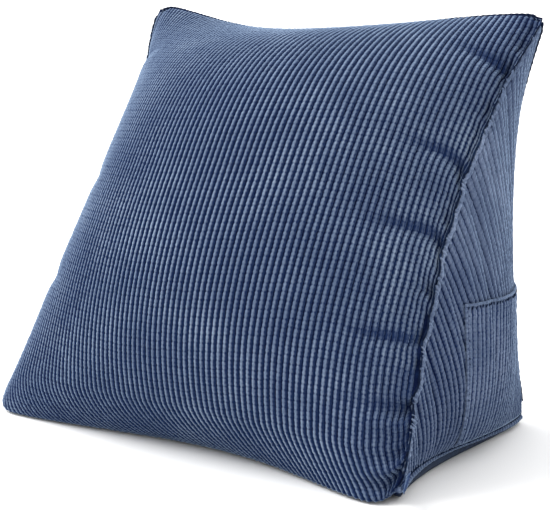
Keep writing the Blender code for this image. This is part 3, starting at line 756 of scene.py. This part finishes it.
def pocket_cloth(lift):
    """The pocket laid on the right gusset, lifted off it. Its outside steps up at the hem."""
    gusset = gusset_cloth("right")

    def cloth(across, up):
        share, row = (across + 1) / 2, (up + 1) / 2
        first = POCKET_LAST - (POCKET_WIDTH - POCKET_LEAN * row) / DEPTH
        behind = 2 * (first + (POCKET_LAST - first) * share) - 1
        foot = seam("right_base", behind)[..., 2] + POCKET_FOOT
        height = foot + (POCKET_HEIGHT - POCKET_DROOP * share - foot) * row
        low, high = np.full_like(behind, -1.0), np.ones_like(behind)
        for step in range(HALVINGS):
            middle = (low + high) / 2
            below = gusset(behind, middle)[..., 2] < height
            low, high = np.where(below, middle, low), np.where(below, high, middle)
        hem = ((row - 1 + POCKET_HEM / POCKET_HEIGHT) / HEM_STEP + 0.5).clip(0, 1)
        out = lift + (HEM_EXTRA * hem * hem * (3 - 2 * hem) if lift > POCKET_CLEARANCE else 0 * hem)
        return gusset(behind, high) + outward_ways(gusset, behind, high) * out[..., None]
    return cloth


pocket_outside = pocket_cloth(POCKET_CLEARANCE + POCKET_CLOTH)
even = np.linspace(-1, 1, POCKET_CELLS + 1)
place_across, place_up = np.meshgrid(even, even)
outside = pocket_outside(place_across, place_up)
inside = pocket_cloth(POCKET_CLEARANCE)(place_across, place_up)
numbers = np.arange((POCKET_CELLS + 1) ** 2).reshape(POCKET_CELLS + 1, -1)
shell = quads(numbers)
pocket_faces = shell.tolist() + (shell[:, ::-1] + numbers.size).tolist()
rim = np.concatenate((numbers[0], numbers[1:, -1], numbers[-1, -2::-1], numbers[-2:0:-1, 0]))
for i, k in zip(rim, np.roll(rim, -1)):
    pocket_faces.append((int(k), int(i), int(i) + numbers.size, int(k) + numbers.size))
pocket = joined_mesh("pocket_cloth", np.concatenate((outside.reshape(-1, 3), inside.reshape(-1, 3))),
                     pocket_faces, folded_edge)
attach(pocket, "root")
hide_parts("side_pocket")
pocket_ribs = raise_wales("pocket_ribs", pocket_cloth(POCKET_CLEARANCE + POCKET_CLOTH + GROUND_SINK), 23, 15,
                          gap=0.06, height=0.0018, pile=flat_pile, node="side_pocket")


# The seams: each is turned inside, so the doubled edges stand up as a soft roll that the ribs run into.
# Beside the side seams a broken welt of folded corduroy stands on each gusset, gathered by the stitching.
# The base seam and the pocket's hem show their stitches.

FILLING_CENTRE = np.array((0.0, -0.0033, 0.136))  # the seams face away from it
SEAM_STEPS = np.linspace(-1, 1, 161)
WELT_INSET, STITCH_INSET = 0.0036, 0.0042
GATHERS_FROM = 14  # the welt's point above the foot from which it is gathered

# seam allowance tucked in, dark in its own shade
tucked_edge = cloth_material("tucked corduroy edge in its own shade", "#050b1a", "#0d1830", "#172744", 0.12)
# matt sewing thread
navy_thread = cloth_material("navy sewing thread", "#060c1c", "#0c1830", "#15213b", 0.0)


def line_piece(name, points, finish):
    """A sewn line as edges, each point with the way out of the cushion there."""
    data = bpy.data.meshes.new(name)
    data.from_pydata([tuple(p) for p in points], [(i, i + 1) for i in range(len(points) - 1)], [])
    data.materials.append(finish)
    along = np.gradient(points, axis=0)
    along = along / np.linalg.norm(along, axis=1, keepdims=True)
    away = points - FILLING_CENTRE
    if name.startswith("base"):
        away[:, 2] = 0
    away = away - (away * along).sum(1, keepdims=True) * along
    away = away / np.linalg.norm(away, axis=1, keepdims=True)
    data.attributes.new("outward", "FLOAT_VECTOR", "POINT").data.foreach_set(
        "vector", away.astype(np.float32).ravel())
    return placed(name, data)


def roll_tree(finish):
    """Sweeps a soft roll along a sewn line, swelling at each rib that runs into it, and stores painted shade
    where it parts between the swellings.
    """
    tree, sockets, given = new_tree("seam roll",
                                    ("Radius", "Ripple", "Ripple pitch", "Parting shade", "Unevenness"))
    sum_of = maths_in(tree)
    curve = add_node(tree, "GeometryNodeMeshToCurve", {0: given["Geometry"]}).outputs[0]
    curve = add_node(tree, "GeometryNodeResampleCurve", {"Curve": curve, "Length": 0.0013},
                     mode="LENGTH").outputs[0]
    length = add_node(tree, "GeometryNodeSplineParameter").outputs["Length"]
    turn = sum_of("COSINE", sum_of("MULTIPLY", sum_of("DIVIDE", length, given["Ripple pitch"]), 2 * math.pi))
    swell = sum_of("MULTIPLY_ADD", turn, given["Ripple"], 1.0)
    # painted shade in the partings between swellings, as strong as the parting input says
    parting_shade = sum_of("MULTIPLY", sum_of("MULTIPLY_ADD", turn, -0.5, 0.5), given["Parting shade"])
    curve = add_node(tree, "GeometryNodeStoreNamedAttribute", {0: curve, 2: "painted_shade", 3: parting_shade},
                     data_type="FLOAT", domain="POINT").outputs[0]
    ring = add_node(tree, "GeometryNodeCurvePrimitiveCircle", {"Resolution": 8, "Radius": 1.0}).outputs[0]
    roll = add_node(tree, "GeometryNodeCurveToMesh",
                    {"Curve": curve, "Profile Curve": ring, "Fill Caps": True,
                     "Scale": sum_of("MULTIPLY", swell, given["Radius"])}).outputs[0]
    moves = frayed(tree, 170.0, given["Unevenness"])[1]
    moved = add_node(tree, "GeometryNodeSetPosition", {"Geometry": roll, "Offset": moves})
    finish_tree(tree, moved.outputs[0], finish)
    return tree, sockets


def row_tree(finish):
    """Sets small rounded lumps along a sewn line: stitches, or the puckers that stitching gathers."""
    tree, sockets, given = new_tree("row along a seam", (
        "Pitch", "Long", "Broad", "High", "Tilt", "Tilt spread", "Size spread", "Raggedness", "Beside",
        "Above"))
    sum_of = maths_in(tree)
    curve = add_node(tree, "GeometryNodeMeshToCurve", {0: given["Geometry"]}).outputs[0]
    curve = add_node(tree, "GeometryNodeResampleCurve", {"Curve": curve, "Length": given["Pitch"]},
                     mode="LENGTH").outputs[0]
    tangent = add_node(tree, "GeometryNodeInputTangent").outputs[0]
    outward = add_node(tree, "GeometryNodeInputNamedAttribute", {"Name": "outward"},
                       data_type="FLOAT_VECTOR").outputs[0]
    sideways = scaled(tree, vector_of(tree, "CROSS_PRODUCT", tangent, outward), given["Beside"])
    move = vector_of(tree, "ADD", sideways, scaled(tree, outward, given["Above"]))
    turned = add_node(tree, "FunctionNodeAlignRotationToVector", {"Vector": tangent}, axis="X").outputs[0]
    turned = add_node(tree, "FunctionNodeAlignRotationToVector", {"Rotation": turned, "Vector": outward},
                      axis="Z", pivot_axis="X").outputs[0]
    leaned, grown = [add_node(tree, "FunctionNodeRandomValue", {2: -0.5, 3: 0.5, "Seed": seed},
                              data_type="FLOAT").outputs[1] for seed in (3, 5)]
    angle = sum_of("MULTIPLY_ADD", leaned, given["Tilt spread"], given["Tilt"])
    lean = add_node(tree, "FunctionNodeAxisAngleToRotation", {"Axis": (0, 0, 1), "Angle": angle}).outputs[0]
    turned = add_node(tree, "FunctionNodeRotateRotation", {"Rotation": turned, "Rotate By": lean},
                      rotation_space="LOCAL").outputs[0]
    size = add_node(tree, "ShaderNodeCombineXYZ",
                    {0: given["Long"], 1: given["Broad"], 2: given["High"]}).outputs[0]
    size = scaled(tree, size, sum_of("MULTIPLY_ADD", grown, given["Size spread"], 1.0))
    lump = add_node(tree, "GeometryNodeMeshUVSphere", {"Segments": 10, "Rings": 6, "Radius": 0.5}).outputs[0]
    points = add_node(tree, "GeometryNodeSetPosition", {"Geometry": curve, "Offset": move}).outputs[0]
    laid = add_node(tree, "GeometryNodeInstanceOnPoints",
                    {"Points": points, "Instance": lump, "Rotation": turned, "Scale": size}).outputs[0]
    real = add_node(tree, "GeometryNodeRealizeInstances", {0: laid}).outputs[0]
    ragged = frayed(tree, 420.0, given["Raggedness"])[1]
    moved = add_node(tree, "GeometryNodeSetPosition", {"Geometry": real, "Offset": ragged})
    finish_tree(tree, moved.outputs[0], finish)
    return tree, sockets


def sew(name, points, tree_and_sockets, values, finish, node="cushion_body"):
    tree, sockets = tree_and_sockets
    piece = apply_tree(line_piece(name, points, finish), tree, sockets, values)
    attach(piece, "root")
    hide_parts(node)
    return piece


# both rolls are darkened with painted shade where they part between swellings
edge_roll, tucked_roll = roll_tree(folded_edge), roll_tree(tucked_edge)
edge_pucker, tucked_row, thread_row = row_tree(folded_edge), row_tree(tucked_edge), row_tree(navy_thread)
for side, outer in (("right", 1), ("left", -1)):
    sew(f"front_{side}_seam_roll", sewn(f"front_{side}", SEAM_STEPS[6:-4]), tucked_roll,
        {"Radius": 0.0009, "Ripple": 0.25, "Ripple pitch": 0.0098, "Parting shade": 0.5, "Unevenness": 0.0016},
        tucked_edge)
    behind = np.linspace(-0.93, 0.955, 161) * outer
    full = np.ones(161)
    tall = np.linalg.norm(gusset_cloth(side)(behind, full) - gusset_cloth(side)(behind, -full), axis=1)
    welt = gusset_cloth(side)(behind, 1 - 2 * WELT_INSET / tall)
    sew(f"front_{side}_seam_welt", welt, edge_roll,
        {"Radius": 0.0018, "Ripple": 0.16, "Ripple pitch": 0.0058, "Parting shade": 0.35, "Unevenness": 0.0040},
        folded_edge)
    sew(f"front_{side}_seam_gathers", welt[GATHERS_FROM:], edge_pucker,
        {"Pitch": 0.0036, "Long": 0.0068, "Broad": 0.0018, "High": 0.0024, "Tilt": 0.55 * outer,
         "Tilt spread": 1.5, "Size spread": 0.8, "Raggedness": 0.0020, "Beside": -0.0007 * outer,
         "Above": 0.0012}, folded_edge)
    sew(f"back_{side}_seam_roll", sewn(f"{side}_back", SEAM_STEPS[6:-2]) + (0.0006 * outer, 0, 0),
        tucked_roll, {"Radius": 0.0011, "Ripple": 0.18, "Ripple pitch": 0.0061, "Parting shade": 0.3,
                      "Unevenness": 0.0010}, tucked_edge)
sew("top_seam_roll", sewn("top", SEAM_STEPS[2:-3]), tucked_roll,
    {"Radius": 0.0008, "Ripple": 0.25, "Ripple pitch": WALE_PITCH, "Parting shade": 0.3, "Unevenness": 0.0008},
    tucked_edge)
base_seam = base_ring()
base_seam = np.concatenate((base_seam, base_seam[:1]))
length = np.concatenate(([0.0], np.linalg.norm(np.diff(base_seam, axis=0), axis=1).cumsum()))
steps = np.linspace(0, length[-1], 901)
base_seam = np.stack([np.interp(steps, length, base_seam[:, axis]) for axis in range(3)], axis=1)[:-1]
base_seam = sum(np.roll(base_seam, step, axis=0) for step in range(-4, 5)) / 9
base_seam = np.concatenate((base_seam, base_seam[:1]))
sew("base_seam_roll", base_seam, edge_roll,
    {"Radius": 0.0024, "Ripple": 0.22, "Ripple pitch": 0.0047, "Parting shade": 0.95, "Unevenness": 0.0010},
    folded_edge)
for side in ("right", "left"):
    behind = np.linspace(-0.90, 0.97, 121) * (1 if side == "right" else -1)
    low = gusset_cloth(side)(behind, np.full(121, -1.0))
    climb = np.linalg.norm(gusset_cloth(side)(behind, np.full(121, -0.9)) - low, axis=1)
    line = gusset_cloth(side)(behind, -1 + 0.1 * STITCH_INSET / climb)
    sew(f"{side}_base_stitches", line, thread_row,
        {"Pitch": 0.0047, "Long": 0.0027, "Broad": 0.0030, "High": 0.0028, "Tilt": 0.0, "Tilt spread": 0.5,
         "Size spread": 0.4, "Raggedness": 0.0006, "Beside": 0.0, "Above": 0.0004}, navy_thread)
turned = pocket_cloth(POCKET_CLEARANCE + 0.0008)
hem_line = np.concatenate((turned(np.full(81, -1.0), np.linspace(-0.97, 1, 81)),
                           turned(np.linspace(-1, 1, 81), np.ones(81))[1:]))
hem_roll = sew("pocket_hem_roll", hem_line, edge_roll,
               {"Radius": 0.0012, "Ripple": 0.20, "Ripple pitch": 0.0046, "Parting shade": 0.45,
                "Unevenness": 0.0006}, folded_edge, "side_pocket")
pocket_top = pocket_cloth(POCKET_CLEARANCE + POCKET_CLOTH + 0.0004)
hem_thread = sew("pocket_hem_stitches", pocket_top(np.linspace(-0.96, 0.96, 81), np.full(81, 0.955)),
                 tucked_row, {"Pitch": 0.0046, "Long": 0.0034, "Broad": 0.0011, "High": 0.0013, "Tilt": 1.0,
                              "Tilt spread": 0.8, "Size spread": 0.4, "Raggedness": 0.0004, "Beside": 0.0,
                              "Above": 0.0006}, tucked_edge, "side_pocket")
side_thread = sew("pocket_side_stitches", pocket_top(np.full(81, -0.96), np.linspace(-0.96, 0.93, 81)),
                  tucked_row, {"Pitch": 0.0052, "Long": 0.0024, "Broad": 0.0014, "High": 0.0014, "Tilt": 0.3,
                               "Tilt spread": 0.6, "Size spread": 0.4, "Raggedness": 0.0004, "Beside": 0.0,
                               "Above": 0.0003}, tucked_edge, "side_pocket")


# The floor: a plain pale sheet, matt, that the cushion stands on. It is stage and no part of the cushion.

floor_data = bpy.data.meshes.new("floor")
floor_data.from_pydata([(-30, -30, 0), (30, -30, 0), (30, 30, 0), (-30, 30, 0)], [], [(0, 1, 2, 3)])
floor = placed("floor", floor_data)
floor_paint, floor_tree, floor_shader = new_finish("matt white studio floor")
floor_shader.inputs["Base Color"].default_value = linear("#e2e2e2")
floor_shader.inputs["Roughness"].default_value = 0.9
floor_data.materials.append(floor_paint)


# The sky: white studio light all round, stronger from above, behind and the left.

SKY_WAY, SKY_GAIN, SKY_BASE = (-0.50, 0.38, 0.78), 1.0, 1.22
world = bpy.data.worlds.new("studio")
world.use_nodes = True
sky = world.node_tree
way_there = add_node(sky, "ShaderNodeTexCoord").outputs["Generated"]
leaning = add_node(sky, "ShaderNodeVectorMath", {0: way_there, 1: SKY_WAY}, operation="DOT_PRODUCT")
strength = maths_in(sky)("MULTIPLY_ADD", leaning.outputs["Value"], SKY_GAIN, SKY_BASE)
sky.nodes["Background"].inputs["Color"].default_value = (1, 1, 1, 1)
sky.links.new(strength, sky.nodes["Background"].inputs["Strength"])
bpy.context.scene.world = world
bpy.context.scene.view_settings.view_transform = "Standard"


# The window: a large soft light high on the left, far enough away to light like the sky.

def way_to(side, height):
    """The way to something seen at an angle round from the front, and at an angle up."""
    return Vector((math.sin(side) * math.cos(height), -math.cos(side) * math.cos(height), math.sin(height)))


window = bpy.data.lights.new("window", "SUN")
window.energy, window.angle = 3.0, math.radians(40)
towards = way_to(math.radians(-78), math.radians(46))
lamp = placed("window", window)
lamp.rotation_euler = (-towards).to_track_quat("-Z", "Y").to_euler()


# The camera: its place fitted to the photograph, with an assumed focal length, in pixels like the width.

TARGET = Vector((0.0196, -0.0099, 0.1651))
FOCAL_PIXELS, PICTURE_PIXELS, SENSOR = 1324, 550, 36.0
DISTANCE = 1.2487
back = way_to(math.radians(35.2976), math.radians(12.4068))
lens = bpy.data.cameras.new("camera")
lens.sensor_width, lens.sensor_fit, lens.lens = SENSOR, "HORIZONTAL", FOCAL_PIXELS / PICTURE_PIXELS * SENSOR
camera = placed("camera", lens)
camera.location = TARGET + back * DISTANCE
camera.rotation_euler = (-back).to_track_quat("-Z", "Y").to_euler()
bpy.context.scene.camera = camera
